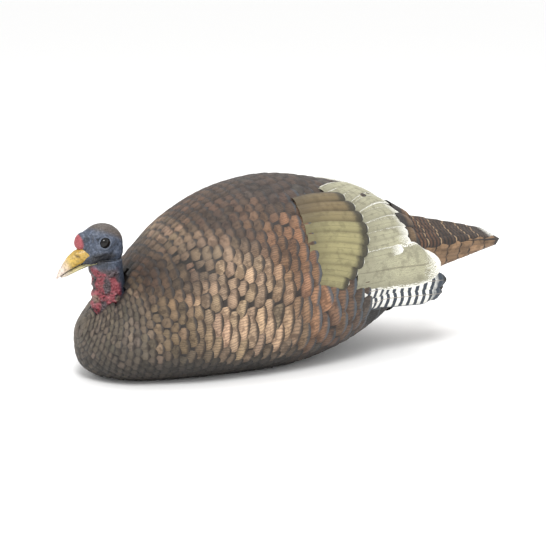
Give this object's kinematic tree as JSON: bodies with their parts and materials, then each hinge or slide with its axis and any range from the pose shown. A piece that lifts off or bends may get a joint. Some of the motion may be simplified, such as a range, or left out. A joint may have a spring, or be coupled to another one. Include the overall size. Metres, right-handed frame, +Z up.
{
  "type": "turkey decoy",
  "caption": "Lay-down turkey hen decoy: hollow moulded body with folded wings, turning plug-in head, plug-in tail and a stake socket in the belly.",
  "frame": {"origin": "mouth of the stake socket, in the plane the decoy rests on", "axes": "+Z up, -X towards the beak, +X towards the tail, -Y the bird's own left side"},
  "size_m": [0.6219, 0.238, 0.231],
  "materials": {
    "body_shell": "moulded and painted feather relief",
    "neck_collar": "satin",
    "collar_screws": "plated",
    "swivel_bush": "smooth",
    "friction_ring": "smooth",
    "swivel_clip": "bright",
    "neck_plug": "satin",
    "plug_screws": "blackened",
    "neck_stiffener": "plain dowel",
    "head_shell": "painted skin",
    "eye_left": "glossy",
    "eye_right": "glossy",
    "tail_shell": "moulded and painted feather relief",
    "rump_collar": "satin",
    "stake_socket": "satin",
    "socket_gasket": "smooth",
    "socket_nut": "satin",
    "valve_body": "satin",
    "valve_gasket": "smooth",
    "valve_nut": "satin",
    "valve_flap": "smooth",
    "valve_plug": "smooth"
  },
  "bodies": {
    "body": {"body_shell": "body_shell", "neck_collar": "neck_collar", "collar_screws": "collar_screws", "rump_collar": "rump_collar", "stake_socket": "stake_socket", "socket_gasket": "socket_gasket", "socket_nut": "socket_nut", "valve_body": "valve_body", "valve_gasket": "valve_gasket", "valve_nut": "valve_nut", "valve_flap": "valve_flap"},
    "swivel": {"swivel_bush": "swivel_bush", "friction_ring": "friction_ring", "swivel_clip": "swivel_clip"},
    "head": {"head_shell": "head_shell", "eye_left": "eye_left", "eye_right": "eye_right", "neck_plug": "neck_plug", "plug_screws": "plug_screws", "neck_stiffener": "neck_stiffener"},
    "tail": {"tail_shell": "tail_shell"},
    "valve_plug": {"valve_plug": "valve_plug"}
  },
  "joints": [
    {"name": "head_swivel", "type": "hinge", "parent": "body", "child": "swivel", "pos_m": [-0.241, 0, 0.0365], "axis": [0, 0, 1], "range_deg": [-60, 60]},
    {"name": "head_lift", "type": "slide", "parent": "swivel", "child": "head", "axis": [0, 0, 1], "range_m": [0, 0.1]},
    {"name": "tail_pull", "type": "slide", "parent": "body", "child": "tail", "axis": [1, 0, 0], "range_m": [0, 0.035]},
    {"name": "valve_plug_pull", "type": "slide", "parent": "body", "child": "valve_plug", "axis": [0.3812, 0, -0.9245], "range_m": [0, 0.012]}
  ]
}
